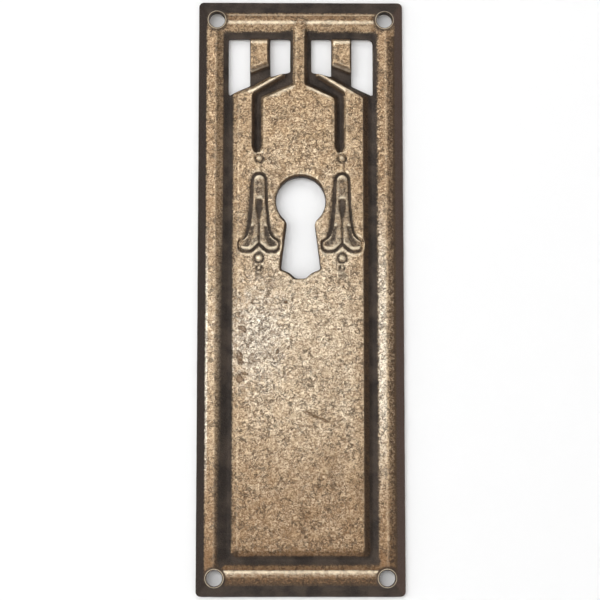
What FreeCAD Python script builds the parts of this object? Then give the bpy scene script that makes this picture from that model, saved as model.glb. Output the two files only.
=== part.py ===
# Keyhole escutcheon: one sheet of brass, stamped, pierced and drawn.
# +X is to the right, +Z is up and the front looks along -Y.
# The origin is the centre of the keyhole's round head, on the plane that lies on the door.
# A level is a height in front of that plane.

import FreeCAD, Part
import Sketcher
import math
import os

from FreeCAD import Placement, Rotation, Vector

SIZES = (
    ("plate_width", 38.0, "outline, across"),
    ("plate_height", 110.0, "outline, top to bottom"),
    ("head_from_top", 37.85, "top edge to the centre of the keyhole's head"),
    ("corner_radius", 0.9, "corners of the outline"),
    ("sheet", 0.9, "thickness of the brass"),
    ("relief", 1.0, "rise of the rim, the panel and the bars over the floor"),
    ("edge_lip", 0.4, "upright edge round the outline"),
    ("shoulder_drop", 0.3, "shoulder of the rim below its crest"),
    ("shoulder_width", 1.5, "gentle slope from the shoulder to the crest"),
    ("bevel_side", 1.65, "bevelled edge of the rim at the sides"),
    ("bevel_top", 2.55, "bevelled edge at the top"),
    ("bevel_bottom", 2.15, "bevelled edge at the bottom"),
    ("rim_side", 4.0, "edge of the plate to the inner edge of the rim, sides"),
    ("rim_top", 5.2, "the same at the top"),
    ("rim_bottom", 5.1, "the same at the bottom"),
    ("crest_flat", 0.2, "flat crest of the rim, at the sides and the top"),
    ("crest_flat_bottom", 0.9, "the same at the bottom"),
    ("inner_drop", 0.35, "inner edge of the rim below its crest"),
    ("rim_slope", 1.3, "run of the rim's inner slope, top and bottom"),
    ("rim_slope_side", 1.6, "the same at the sides"),
    ("rim_corner", 1.1, "inner corners of the rim"),
    ("groove_floor", 0.35, "flat floor between the rim and the panel"),
    ("panel_slope", 0.9, "run of the slope round the panel"),
    ("panel_slope_side", 1.5, "the same along its sides"),
    ("panel_slope_bottom", 1.45, "the same along its lower edge"),
    ("panel_corner", 0.4, "lower corners of the panel"),
    ("stem_half", 0.85, "half width of the stem, at its crest"),
    ("stem_flare", 0.55, "rounded spread of the stem where it meets the rim"),
    ("arm_start", 16.0, "top edge to the low side of the arm, at the stem"),
    ("arm_end", 18.6, "top edge to the low side of the arm, at the leg"),
    ("arm_elbow", 17.45, "top edge to the outer elbow of the arm"),
    ("elbow_radius", 1.7, "outer elbow"),
    ("stem_shift", 0.12, "stem to the left of the centre line"),
    ("leg_inner", 6.6, "centre line to the near side of the leg"),
    ("leg_shift", 0.28, "both legs to the left of their even places"),
    ("leg_width", 2.12, "width of the leg at the panel's face"),
    ("leg_taper", 27.7, "top edge to where the leg narrows"),
    ("leg_end", 28.95, "top edge to the end of the leg"),
    ("leg_end_width", 1.0, "width of the leg's end"),
    ("ridge_tip", 3.4, "centre line to the tip of the ridge over the arm"),
    ("ridge_start", 13.75, "top edge to the tip of the ridge"),
    ("ridge_width", 0.4, "height of the ridge's blunt tip"),
    ("ridge_bend", 8.7, "centre line to the bend in the ridge"),
    ("ridge_bend_left", 16.8, "top edge to that bend on the left"),
    ("ridge_bend_right", 16.75, "the same on the right"),
    ("strip_left", 17.75, "top edge to the top of the left side strip"),
    ("strip_right", 18.45, "top edge to the top of the right side strip"),
    ("window_top", 7.1, "top edge to the windows"),
    ("window_radius", 0.3, "corners of the windows"),
    ("window_turn", 1.0, "outer top corner of the right outer window"),
    ("inner_near", 1.95, "centre line to the near side of an inner window"),
    ("inner_far", 5.65, "centre line to its far side"),
    ("inner_near_end", 13.4, "top edge to its lowest point, near side"),
    ("inner_bend", 4.2, "centre line to the bend in its lower edge"),
    ("inner_bend_end", 14.15, "top edge to that bend"),
    ("inner_far_end", 14.4, "top edge to its lowest point, far side"),
    ("outer_near", 9.42, "centre line to the near side of an outer window"),
    ("outer_near_end", 16.1, "top edge to its lowest point, near side"),
    ("outer_far_end", 17.95, "top edge to its lowest point, far side"),
    ("bar_near_edge", 0.45, "inner window to the crest of the bar"),
    ("bar_far_edge", 0.17, "crest of the bar to the outer window"),
    ("bar_top", 7.65, "top edge to the bar's crest"),
    ("bar_near_end", 12.25, "top edge to the end of the crest, near side"),
    ("bar_far_end", 13.5, "top edge to the end of the crest, far side"),
    ("bar_slope", 0.7, "run of the slope at the bar's ends"),
    ("bar_shoulder", 0.8, "width of the soft shoulder at a bar's lower end"),
    ("bar_drop", 0.22, "fall of that shoulder"),
    ("head_radius", 4.55, "round head of the keyhole"),
    ("slot_top_half", 2.02, "half width of the slot, carried up to the head's centre"),
    ("slot_foot_half", 3.62, "half width of the slot at its foot"),
    ("slot_foot", 12.65, "head's centre to the foot's corners"),
    ("slot_bend_half", 2.0, "half width at the bend under the foot"),
    ("slot_bend", 13.35, "head's centre to that bend"),
    ("slot_tip_half", 0.9, "half width of the tip"),
    ("slot_tip", 14.35, "head's centre to the tip"),
    ("neck_cut", 0.5, "corner taken off where the slot meets the head"),
    ("collar_wall", 0.4, "wall of the drawn collar round the keyhole"),
    ("nail_wall", 0.28, "wall of the collars round the nail holes"),
    ("lip_width", 0.4, "worn lip round the keyhole"),
    ("lip_depth", 0.3, "depth of that lip"),
    ("nail_radius", 1.45, "nail holes"),
    ("nail_across", 31.2, "spacing of the nail holes, across"),
    ("nail_along", 103.0, "spacing of the nail holes, top to bottom"),
    ("nail_from_top", 3.65, "top edge to the upper nail holes"),
    ("nail_proud", 0.05, "collars of the nail holes over the rim's shoulder"),
    ("flower_centre", 7.65, "centre line to the middle of a bell flower"),
    ("flower_top", 32.85, "top edge to the top of the bell"),
    ("bell_half", 1.12, "half width of the bell at its top"),
    ("waist_half", 1.3, "half width at the waist"),
    ("waist", 38.5, "top edge to the waist"),
    ("skirt_half", 1.7, "half width at the skirt"),
    ("skirt", 42.6, "top edge to the skirt"),
    ("flare_half", 2.25, "half width where the lobes turn out"),
    ("flare", 44.6, "top edge to that turn"),
    ("lobe_half", 3.65, "half width over the lobes"),
    ("lobe_top", 45.4, "top edge to the upper corners of the lobes"),
    ("lobe_foot", 47.15, "top edge to the foot of the lobes"),
    ("lobe_near", 1.5, "middle of the flower to the inner corner of a lobe"),
    ("cusp", 45.75, "top edge to the cusp between the lobes"),
    ("flower_groove", 0.42, "width of the groove round a flower"),
    ("bank_width", 0.6, "width of the dip on the left of a flower's groove"),
    ("bank_depth", 0.28, "depth of that dip at the groove"),
    ("flower_depth", 0.45, "depth of that groove"),
    ("flower_crown", 0.15, "crown of a flower over the panel"),
    ("petal_edge", 0.25, "edge of a flower outside its crown"),
    ("slit_half", 0.68, "half width of the slit in a flower"),
    ("slit_top", 37.5, "top edge to the slit"),
    ("slit_neck", 41.4, "top edge to where the slit is narrow"),
    ("slit_line", 0.15, "half width of its narrow part"),
    ("slit_depth", 0.4, "depth of the slit"),
    ("curl_depth", 0.35, "hollow inside the curl of a lobe"),
    ("stalk_half", 0.32, "half width of the stalk over a flower"),
    ("bead_high", 29.85, "top edge to the bead over a flower"),
    ("bead_low", 48.45, "top edge to the bead under a flower"),
    ("bead_last", 50.25, "top edge to the small bead"),
    ("bead_radius", 0.7, "the bead over a flower"),
    ("bead_large", 0.8, "the larger bead under a flower"),
    ("bead_small", 0.38, "the small bead"),
    ("bead_groove", 0.3, "groove round a bead"),
    ("stalk_line", 0.2, "width of the line on the right of a stalk"),
)

SHARPEST = 0.04
PLATE = "escutcheon_plate"

doc = FreeCAD.newDocument("keyhole_escutcheon")
sheet = doc.addObject("Spreadsheet::Sheet", "sizes")
for row, (alias, value, note) in enumerate(SIZES, start=1):
    sheet.set(f"A{row}", note)
    sheet.set(f"B{row}", str(value))
    sheet.setAlias(f"B{row}", alias)
doc.recompute()
size = {alias: float(sheet.get(alias)) for alias, value, note in SIZES}

panelLevel = size["sheet"] + size["relief"]
halfWidth = size["plate_width"] / 2

# The same levels as text, for the expressions.
PANEL_LEVEL = "(sizes.sheet + sizes.relief)"
CROWN_LEVEL = f"({PANEL_LEVEL} + sizes.flower_crown)"
GROOVE_LEVEL = f"({PANEL_LEVEL} - sizes.flower_depth)"
SHOULDER_LEVEL = f"({PANEL_LEVEL} - sizes.shoulder_drop)"
INNER_LEVEL = f"({PANEL_LEVEL} - sizes.inner_drop)"


def down(distance):
    """Height of a point that lies so far below the top edge."""
    return size["head_from_top"] - distance


def wallShift(run):
    """Sideways distance between the two skins of a slope with this run."""
    return size["sheet"] * math.hypot(1, run / size["relief"])


def heading(start, end):
    return math.atan2(end[1] - start[1], end[0] - start[0])


def turnAt(corners, index):
    """Angle through which a loop turns at a corner, left positive."""
    here = corners[index]
    ahead = corners[(index + 1) % len(corners)]
    turn = heading(here, ahead) - heading(corners[index - 1], here)
    return math.remainder(turn, 2 * math.pi)


def grown(corners, distance):
    """The loop with each side moved outwards, or inwards if the distance is negative."""
    way = math.copysign(1, sum(turnAt(corners, index) for index in range(len(corners))))
    loop = []
    for index, (x, z, radius) in enumerate(corners):
        turn = turnAt(corners, index)
        angle = heading(corners[index - 1], corners[index]) + turn / 2 - way * math.pi / 2
        reach = distance / math.cos(turn / 2)
        bulge = distance if turn * way > 0 else -distance
        loop.append((
            x + reach * math.cos(angle),
            z + reach * math.sin(angle),
            max(radius + bulge, SHARPEST),
        ))
    return loop


def mirrored(corners):
    """A loop that is symmetric about the centre line, from its right half."""
    return corners + [(-x, z, radius) for x, z, radius in reversed(corners) if abs(x) > SHARPEST]


def flipped(corners, side, centre=0.0):
    return [(side * (centre + x), z, radius) for x, z, radius in corners]


def edgesOf(corners):
    """Straight sides and round corners of a closed loop, in the sketch's plane."""
    ends = []
    for index, (x, z, radius) in enumerate(corners):
        before = corners[index - 1]
        after = corners[(index + 1) % len(corners)]
        half = abs(turnAt(corners, index)) / 2
        room = 0.48 * min(math.dist(before[:2], (x, z)), math.dist(after[:2], (x, z)))
        reach = min(radius * math.tan(half), room)
        corner = Vector(x, z, 0)
        back = (Vector(before[0], before[1], 0) - corner).normalize() * reach
        on = (Vector(after[0], after[1], 0) - corner).normalize() * reach
        bow = reach / math.tan(half) * (1 / math.cos(half) - 1)
        ends.append((corner + back, corner + (back + on).normalize() * bow, corner + on))
    edges = []
    for index, (start, middle, end) in enumerate(ends):
        edges.append(Part.Arc(start, middle, end))
        edges.append(Part.LineSegment(end, ends[(index + 1) % len(ends)][0]))
    return edges


def frontPlane(body):
    return [item for item in body.Origin.OriginFeatures if item.Role == "XZ_Plane"][0]


def sketchAt(body, name, level):
    """A sketch parallel to the back plane; its level is a number or an expression."""
    sketch = body.newObject("Sketcher::SketchObject", name)
    sketch.AttachmentSupport = [(frontPlane(body), "")]
    sketch.MapMode = "FlatFace"
    sketch.setExpression(".AttachmentOffset.Base.z", level)
    return sketch


def outline(body, name, level, corners):
    sketch = sketchAt(body, name, level)
    sketch.addGeometry(edgesOf(corners), False)
    return sketch


def frame(body, name, level, side, top, bottom, radius):
    """A rounded rectangle, held by its distances from the edges of the plate."""
    sketch = sketchAt(body, name, level)
    x, r = halfWidth - 4, 0.5
    high, low = down(4), down(size["plate_height"] - 4)
    corners = [(x, low, r), (x, high, r), (-x, high, r), (-x, low, r)]
    sketch.addGeometry(edgesOf(corners), False)
    rules = []
    for line in (1, 3, 5, 7):
        rules.append(Sketcher.Constraint("Tangent", line - 1, 2, line, 1))
        rules.append(Sketcher.Constraint("Tangent", line, 2, (line + 1) % 8, 1))
        rules.append(Sketcher.Constraint("Vertical" if line in (1, 5) else "Horizontal", line))
    rules += [Sketcher.Constraint("Equal", 0, arc) for arc in (2, 4, 6)]
    sketch.addConstraint(rules)
    bind(sketch, Sketcher.Constraint("Radius", 0, r), radius)
    bind(sketch, Sketcher.Constraint("DistanceX", -1, 1, 1, 1, x), f"sizes.plate_width / 2 - {side}")
    bind(sketch, Sketcher.Constraint("DistanceX", 5, 1, -1, 1, x), f"sizes.plate_width / 2 - {side}")
    bind(sketch, Sketcher.Constraint("DistanceY", -1, 1, 3, 1, high), f"sizes.head_from_top - {top}")
    bind(
        sketch,
        Sketcher.Constraint("DistanceY", 7, 1, -1, 1, -low),
        f"sizes.plate_height - sizes.head_from_top - {bottom}",
    )
    return sketch


def circles(body, name, level, radius, centres):
    """Circles of one radius; radius and centres are expressions."""
    sketch = sketchAt(body, name, level)
    for across, up in centres:
        circle = sketch.addGeometry(Part.Circle(Vector(0, 0, 0), Vector(0, 0, 1), 1.0), False)
        bind(sketch, Sketcher.Constraint("Radius", circle, 1.0), radius)
        for kind, distance in (("DistanceX", across), ("DistanceY", up)):
            value = sketch.evalExpression(distance)
            ends = (-1, 1, circle, 3) if value >= 0 else (circle, 3, -1, 1)
            bind(sketch, Sketcher.Constraint(kind, *ends, abs(value)), f"abs({distance})")
    return sketch


def bind(sketch, constraint, expression):
    index = sketch.addConstraint(constraint)
    sketch.setExpression(f"Constraints[{index}]", expression)


def loft(body, name, profiles, cuts=False):
    """A ruled solid through two sketches, added to the body or cut from it."""
    kind = "PartDesign::SubtractiveLoft" if cuts else "PartDesign::AdditiveLoft"
    feature = body.newObject(kind, name)
    feature.Profile = profiles[0]
    feature.Sections = profiles[1:]
    feature.Ruled = True
    feature.Refine = False
    body.Tip = feature
    return feature


def pad(body, name, sketch, length):
    feature = body.newObject("PartDesign::Pad", name)
    feature.Profile = sketch
    feature.setExpression("Length", length)
    feature.Refine = False
    body.Tip = feature
    return feature


def pierce(body, name, sketch):
    """A cut right through, from a sketch on the back plane towards the front."""
    feature = body.newObject("PartDesign::Pocket", name)
    feature.Profile = sketch
    feature.Type = "ThroughAll"
    feature.Reversed = True
    feature.Refine = False
    body.Tip = feature
    return feature


def rimEdge(name, level, side, top, bottom, radius="sizes.corner_radius"):
    return frame(plate, name, level, side, top, bottom, radius)


def insideBevel(bevel, level):
    """Distance from the plate's edge to the back skin of the bevel, at a level."""
    run = f"({bevel} / ({SHOULDER_LEVEL} - sizes.edge_lip))"
    return f"(({level} - sizes.edge_lip) * {run} + sizes.sheet * sqrt(1 + {run}^2))"


def insideRim(crest, slope, level):
    """Distance from the plate's edge to the back skin of the rim's inner slope, at a level."""
    run = f"({slope} / sizes.relief)"
    return f"({crest} + ({PANEL_LEVEL} - {level}) * {run} - sizes.sheet * sqrt(1 + {run}^2))"


def buildRim():
    """The raised band round the plate, hollow behind, and the floor inside it."""
    bevels = ("sizes.bevel_side", "sizes.bevel_top", "sizes.bevel_bottom")
    crests = ("sizes.rim_side", "sizes.rim_top", "sizes.rim_bottom")
    slopes = ("sizes.rim_slope_side", "sizes.rim_slope", "sizes.rim_slope")
    pad(plate, "edge", rimEdge("outline", "0", "0", "0", "0"), "sizes.edge_lip")
    lip = rimEdge("lip", "sizes.edge_lip", "0", "0", "0")
    shoulder = rimEdge("shoulder", SHOULDER_LEVEL, *bevels)
    outerCrest = [f"({bevel} + sizes.shoulder_width)" for bevel in bevels]
    crest = rimEdge("outer_crest", PANEL_LEVEL, *outerCrest)
    loft(plate, "bevel", [lip, shoulder])
    loft(plate, "band", [shoulder, crest])
    mouth = rimEdge("hollow_mouth", "0", *[insideBevel(bevel, "0") for bevel in bevels])
    roof = rimEdge("hollow_roof", "sizes.relief", *[insideBevel(bevel, "sizes.relief") for bevel in bevels])
    loft(plate, "rim_hollow", [mouth, roof], cuts=True)
    inwards = list(zip(crests, slopes))
    foot = rimEdge("core_foot", "0", *[insideRim(rim, slope, "0") for rim, slope in inwards])
    roofs = [insideRim(rim, slope, "sizes.relief") for rim, slope in inwards]
    top = rimEdge("core_top", "sizes.relief", *roofs)
    loft(plate, "core", [foot, top])
    flats = ("sizes.crest_flat", "sizes.crest_flat", "sizes.crest_flat_bottom")
    innerCrest = [f"({crest} + {flat})" for crest, flat in zip(outerCrest, flats)]
    inner = rimEdge("inner_crest", PANEL_LEVEL, *innerCrest, "sizes.rim_corner")
    edge = rimEdge("inner_edge", INNER_LEVEL, *crests, "sizes.rim_corner")
    feet = [f"({crest} + {slope})" for crest, slope in inwards]
    floor = rimEdge("floor_edge", "sizes.sheet", *feet, "sizes.rim_corner / 2")
    loft(plate, "inner_shoulder", [inner, edge], cuts=True)
    loft(plate, "well", [edge, floor], cuts=True)


def panelEdge(rim, rimSlope, panelSlope):
    """Distance from the plate's edge to the crest of the panel."""
    return rim + rimSlope + size["groove_floor"] + panelSlope


def panelSide(side, stemTop, ridge):
    """Right half of the panel's outline at its face, from the stem round to the lower corner."""
    hand = "right" if side > 0 else "left"
    strip, bend = size[f"strip_{hand}"], size[f"ridge_bend_{hand}"]
    stemHalf = size["stem_half"] - side * size["stem_shift"]
    legInner = size["leg_inner"] - side * size["leg_shift"]
    legOuter = legInner + size["leg_width"]
    legMiddle = legInner + size["leg_width"] / 2
    endHalf = size["leg_end_width"] / 2
    edge = halfWidth - panelEdge(size["rim_side"], size["rim_slope_side"], size["panel_slope_side"])
    lowest = panelEdge(size["rim_bottom"], size["rim_slope"], size["panel_slope_bottom"])
    bottom = down(size["plate_height"] - lowest)
    corner = size["panel_corner"]
    flare = size["stem_flare"]
    stem = [
        (stemHalf + flare, down(stemTop), SHARPEST),
        (stemHalf + flare / 4, down(stemTop + flare / 2), flare),
        (stemHalf, down(stemTop + 3 * flare), flare),
        (stemHalf, down(size["arm_start"]), corner),
    ]
    leg = [
        (legInner, down(size["arm_end"]), corner),
        (legInner, down(size["leg_taper"]), corner),
        (legMiddle - endHalf, down(size["leg_end"]), corner),
        (legMiddle + endHalf, down(size["leg_end"]), corner),
        (legOuter, down(size["leg_taper"]), corner),
    ]
    fall = (strip - bend) / (edge - size["ridge_bend"])
    crestAtLeg = bend + fall * (legOuter - size["ridge_bend"])
    arm = [
        (legOuter, down(size["arm_elbow"]), size["elbow_radius"]),
        (size["ridge_tip"], down(size["ridge_start"] + size["ridge_width"]), SHARPEST),
        (size["ridge_tip"], down(size["ridge_start"]), SHARPEST),
        (size["ridge_bend"], down(bend), SHARPEST),
    ]
    top = arm if ridge else [(legOuter, down(crestAtLeg), SHARPEST)]
    strips = [(edge, down(strip), corner), (edge, bottom, corner)]
    return stem + leg + top + strips


def panelLoop(stemTop, ridge):
    right = panelSide(1, stemTop, ridge)
    left = panelSide(-1, stemTop, ridge)
    return right + [(-x, z, radius) for x, z, radius in reversed(left)]


def stretched(loop):
    """The panel's foot moved out to the feet of the wider slopes at its sides and lower edge."""
    spread = size["panel_slope_side"] - size["panel_slope"]
    drop = size["panel_slope_bottom"] - size["panel_slope"]
    wide = max(x for x, z, radius in loop) - SHARPEST
    low = min(z for x, z, radius in loop) + SHARPEST
    corners = []
    for x, z, radius in loop:
        reach = spread if abs(x) > wide else 0
        corners.append((x + math.copysign(reach, x), z - drop if z < low else z, radius))
    return corners


def buildPanel():
    """The raised panel with its stem and side strips, and the hollow behind it."""
    stemTop = size["bevel_top"] + size["shoulder_width"] + size["crest_flat"]
    face = panelLoop(stemTop, ridge=True)
    footLoop = stretched(grown(face, size["panel_slope"]))
    foot = outline(plate, "panel_foot", "sizes.sheet", footLoop)
    crest = outline(plate, "panel_crest", PANEL_LEVEL, face)
    loft(plate, "panel", [foot, crest])
    run = size["panel_slope"] / size["relief"]
    shift = wallShift(size["panel_slope"])
    back = panelLoop(stemTop - 1.5 * size["sheet"], ridge=False)
    mouthLoop = stretched(grown(back, run * panelLevel - shift))
    mouth = outline(plate, "panel_mouth", "0", mouthLoop)
    roof = outline(plate, "panel_roof", "sizes.relief", grown(back, run * size["sheet"] - shift))
    loft(plate, "panel_hollow", [mouth, roof], cuts=True)


def barLoop(extra, lift=0):
    near = size["inner_far"] + size["bar_near_edge"] - extra
    far = size["outer_near"] - size["bar_far_edge"] + extra
    fall = (size["bar_far_end"] - size["bar_near_end"]) / (far - near - 2 * extra)
    corner = SHARPEST
    return [
        (near, down(size["bar_top"]), corner),
        (far, down(size["bar_top"]), corner),
        (far, down(size["bar_far_end"] + fall * extra - lift), corner),
        (near, down(size["bar_near_end"] - fall * extra - lift), corner),
    ]


def buildBar(side, name):
    """A raised bar between two windows, open at both sides where the windows cut it."""
    run = size["bar_slope"] / size["relief"]
    shift = wallShift(size["bar_slope"])
    footLoop = grown(barLoop(0), size["bar_slope"])
    shelfLoop = grown(barLoop(0), run * size["bar_drop"])
    crestLoop = barLoop(0, size["bar_shoulder"])
    backLoop = barLoop(size["sheet"], size["bar_shoulder"] / 2)
    shelfLevel = f"({PANEL_LEVEL} - sizes.bar_drop)"
    foot = outline(plate, f"{name}_foot", "sizes.sheet", flipped(footLoop, side))
    shelf = outline(plate, f"{name}_shelf", shelfLevel, flipped(shelfLoop, side))
    crest = outline(plate, f"{name}_crest", PANEL_LEVEL, flipped(crestLoop, side))
    loft(plate, name, [foot, shelf])
    loft(plate, f"{name}_shoulder", [shelf, crest])
    mouthLoop = grown(backLoop, run * panelLevel - shift)
    roofLoop = grown(backLoop, run * size["sheet"] - shift)
    mouth = outline(plate, f"{name}_mouth", "0", flipped(mouthLoop, side))
    roof = outline(plate, f"{name}_roof", "sizes.relief", flipped(roofLoop, side))
    loft(plate, f"{name}_hollow", [mouth, roof], cuts=True)


def flowerLoop():
    """A bell flower at its edge: dome, waist, skirt and two lobes that turn out."""
    return mirrored([
        (size["bell_half"], down(size["flower_top"]), size["bell_half"]),
        (size["waist_half"], down(size["waist"]), 9 * size["waist_half"]),
        (size["skirt_half"], down(size["skirt"]), 3 * size["skirt_half"]),
        (size["flare_half"], down(size["flare"]), size["flare_half"]),
        (size["lobe_half"], down(size["lobe_top"]), size["lobe_half"] / 5),
        (size["lobe_half"] - size["bead_groove"] / 2, down(size["lobe_foot"]), size["lobe_half"] / 4),
        (size["lobe_near"], down(size["lobe_foot"]), size["lobe_half"] / 3),
        (0, down(size["cusp"]), size["slit_line"]),
    ])


def stalkLoop():
    """The thin line on the right of the stalk, from the high bead down to the bell's groove."""
    near = size["stalk_half"]
    far = near + size["stalk_line"]
    high = down(size["bead_high"] + size["bead_radius"])
    low = down(size["flower_top"] - size["flower_groove"] / 4)
    return [(far, low, SHARPEST), (far, high, SHARPEST), (near, high, SHARPEST), (near, low, SHARPEST)]


def bankLoop(reach):
    """The left side of a flower's groove; the reach widens it from the dome down to the lobe."""
    wide = size["flower_groove"] + reach
    inside = -size["bell_half"] / 2
    high = down(size["flower_top"] + size["bell_half"] - reach / 2)
    low = down(size["flare"] + reach)
    return [
        (inside, low, SHARPEST),
        (-size["flare_half"] - wide, low, SHARPEST),
        (-size["skirt_half"] - wide, down(size["skirt"]), 3 * size["skirt_half"]),
        (-size["waist_half"] - wide, down(size["waist"]), 9 * size["waist_half"]),
        (-size["bell_half"] - size["flower_groove"], high, SHARPEST),
        (inside, high, SHARPEST),
    ]


def slitLoop():
    neck = size["slit_neck"]
    rise = neck - size["slit_top"]
    return mirrored([
        (size["slit_half"], down(size["slit_top"]), size["slit_half"] * 0.8),
        (size["slit_half"] * 0.85, down(size["slit_top"] + rise / 2), size["slit_half"]),
        (size["slit_line"], down(neck), size["slit_half"]),
        (size["slit_line"], down(size["cusp"] + size["slit_line"]), SHARPEST),
    ])


def curlLoop():
    """The hollow behind a lobe, between its curled lower edge and the bell's side."""
    edge = size["petal_edge"]
    near = size["skirt_half"] / 2
    return [
        (near, down(size["skirt"]), SHARPEST),
        (size["skirt_half"] - edge / 2, down(size["skirt"]), SHARPEST),
        (size["flare_half"] - edge / 2, down(size["flare"]), edge),
        (size["lobe_half"] - edge, down(size["lobe_top"] + edge), edge),
        (size["lobe_half"] - edge, down(size["lobe_foot"] - 4 * edge), edge),
        (size["lobe_near"] + 2 * edge, down(size["lobe_foot"] - 3 * edge), edge),
        (near + edge, down(size["flare"]), 2 * edge),
    ]


def layer(body, part, level, loop, distance, side):
    """One outline of a flower, moved outwards by a distance and set on its side of the plate."""
    return outline(body, part, level, flipped(grown(loop, distance), side, size["flower_centre"]))


def dot(body, part, level, radius, side, below):
    """A round outline on a flower's axis, so far below the top edge."""
    centre = (f"{side} * sizes.flower_centre", f"sizes.head_from_top - {below}")
    return circles(body, part, level, radius, [centre])


def buildBosses():
    """The sheet pushed back behind the flowers."""
    level = f"({PANEL_LEVEL} - sizes.sheet - sizes.flower_depth)"
    for side, name in SIDES:
        boss = layer(plate, f"{name}_boss_outline", level, flowerLoop(), size["flower_groove"], side)
        pad(plate, f"{name}_boss", boss, "sizes.flower_depth + sizes.sheet / 4")


def buildGrooves(body):
    """What is sunk round the flowers and beads, and beside the stalks."""
    draft = size["bead_groove"] / 2
    for side, name in SIDES:
        top = layer(body, f"{name}_groove_top", PANEL_LEVEL, flowerLoop(), size["flower_groove"], side)
        foot = layer(body, f"{name}_groove_foot", GROOVE_LEVEL, flowerLoop(), draft, side)
        loft(body, f"{name}_groove", [top, foot])
        banks = [[(side * x, z, r) for x, z, r in bankLoop(reach)] for reach in (size["bank_width"], 0)]
        top = layer(body, f"{name}_bank_top", PANEL_LEVEL, banks[0], 0, side)
        foot = layer(body, f"{name}_bank_foot", f"({PANEL_LEVEL} - sizes.bank_depth)", banks[1], 0, side)
        loft(body, f"{name}_bank", [top, foot])
        line = [(side * x, z, radius) for x, z, radius in stalkLoop()]
        top = layer(body, f"{name}_stalk_top", PANEL_LEVEL, line, draft / 3, side)
        foot = layer(body, f"{name}_stalk_foot", f"({PANEL_LEVEL} - sizes.curl_depth)", line, 0, side)
        loft(body, f"{name}_stalk_line", [top, foot])
        for part, radius, below in BEADS:
            top = dot(body, f"{name}_{part}_top", PANEL_LEVEL, f"{radius} + sizes.bead_groove", side, below)
            foot = dot(body, f"{name}_{part}_foot", GROOVE_LEVEL, f"{radius} * 1.05", side, below)
            loft(body, f"{name}_{part}_groove", [top, foot])


def buildBells(body):
    """The flowers themselves, each with a slit and two curled lobes."""
    flower, slit = flowerLoop(), slitLoop()
    draft = size["bead_groove"] / 2
    slitLevel = f"({CROWN_LEVEL} - sizes.slit_depth)"
    curlLevel = f"({CROWN_LEVEL} - sizes.curl_depth)"
    for side, name in SIDES:
        foot = layer(body, f"{name}_bell_foot", GROOVE_LEVEL, flower, 0, side)
        edge = layer(body, f"{name}_bell_edge", PANEL_LEVEL, flower, -draft, side)
        crown = layer(body, f"{name}_bell_crown", CROWN_LEVEL, flower, -size["petal_edge"], side)
        loft(body, f"{name}_bell", [foot, edge])
        loft(body, f"{name}_petals", [edge, crown])
        top = layer(body, f"{name}_slit_top", CROWN_LEVEL, slit, draft / 2, side)
        foot = layer(body, f"{name}_slit_foot", slitLevel, slit, -draft / 3, side)
        loft(body, f"{name}_slit", [top, foot], cuts=True)
        for way, half in ((1, "right"), (-1, "left")):
            curl = [(way * x, z, radius) for x, z, radius in curlLoop()]
            top = layer(body, f"{name}_{half}_curl_top", CROWN_LEVEL, curl, draft / 2, side)
            foot = layer(body, f"{name}_{half}_curl_foot", curlLevel, curl, -draft / 2, side)
            loft(body, f"{name}_{half}_curl", [top, foot], cuts=True)
        for part, radius, below in BEADS:
            buildBead(body, f"{name}_{part}", radius, side, below)


def buildBead(body, name, radius, side, below):
    dome = body.newObject("PartDesign::AdditiveEllipsoid", name)
    dome.AttachmentSupport = [(frontPlane(body), "")]
    dome.MapMode = "FlatFace"
    dome.setExpression(".AttachmentOffset.Base.x", f"{side} * sizes.flower_centre")
    dome.setExpression(".AttachmentOffset.Base.y", f"sizes.head_from_top - {below}")
    dome.setExpression(".AttachmentOffset.Base.z", GROOVE_LEVEL)
    dome.setExpression("Radius1", "sizes.flower_depth + sizes.flower_crown")
    dome.setExpression("Radius2", radius)
    dome.setExpression("Radius3", radius)
    dome.Angle1 = 0
    dome.Refine = False
    body.Tip = dome


def combine(tool, kind):
    """The plate joined with a tool, or cut by it."""
    doc.recompute()
    feature = plate.newObject("PartDesign::Boolean", f"{tool.Name}_{kind}")
    feature.Type = kind
    feature.setObjects([tool])
    feature.Refine = False
    plate.Tip = feature


def slotLoop():
    """The slot of the keyhole, flared downwards, with a blunt point at its foot."""
    return mirrored([
        (size["slot_top_half"], 0, SHARPEST),
        (size["slot_foot_half"], -size["slot_foot"], size["lip_width"]),
        (size["slot_bend_half"], -size["slot_bend"], size["slot_bend_half"]),
        (size["slot_tip_half"], -size["slot_tip"], size["slot_tip_half"]),
    ])


def neckLoop(side):
    """The corner of metal between the head and the slot that is taken off."""
    across = size["slot_foot_half"] - size["slot_top_half"]
    run = math.hypot(across, size["slot_foot"])
    along = (across / run, -size["slot_foot"] / run)
    middle = -size["slot_top_half"] * along[0]
    reach = middle + math.sqrt(middle ** 2 + size["head_radius"] ** 2 - size["slot_top_half"] ** 2)
    corner = (size["slot_top_half"] + reach * along[0], reach * along[1])
    angle = math.atan2(corner[1], corner[0]) + size["neck_cut"] / size["head_radius"]
    return flipped([
        (size["head_radius"] * math.cos(angle), size["head_radius"] * math.sin(angle), SHARPEST),
        (corner[0] - size["neck_cut"] / 2, corner[1] + size["neck_cut"] / 2, SHARPEST),
        (corner[0] + size["neck_cut"] * along[0], corner[1] + size["neck_cut"] * along[1], SHARPEST),
    ], side)


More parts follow.
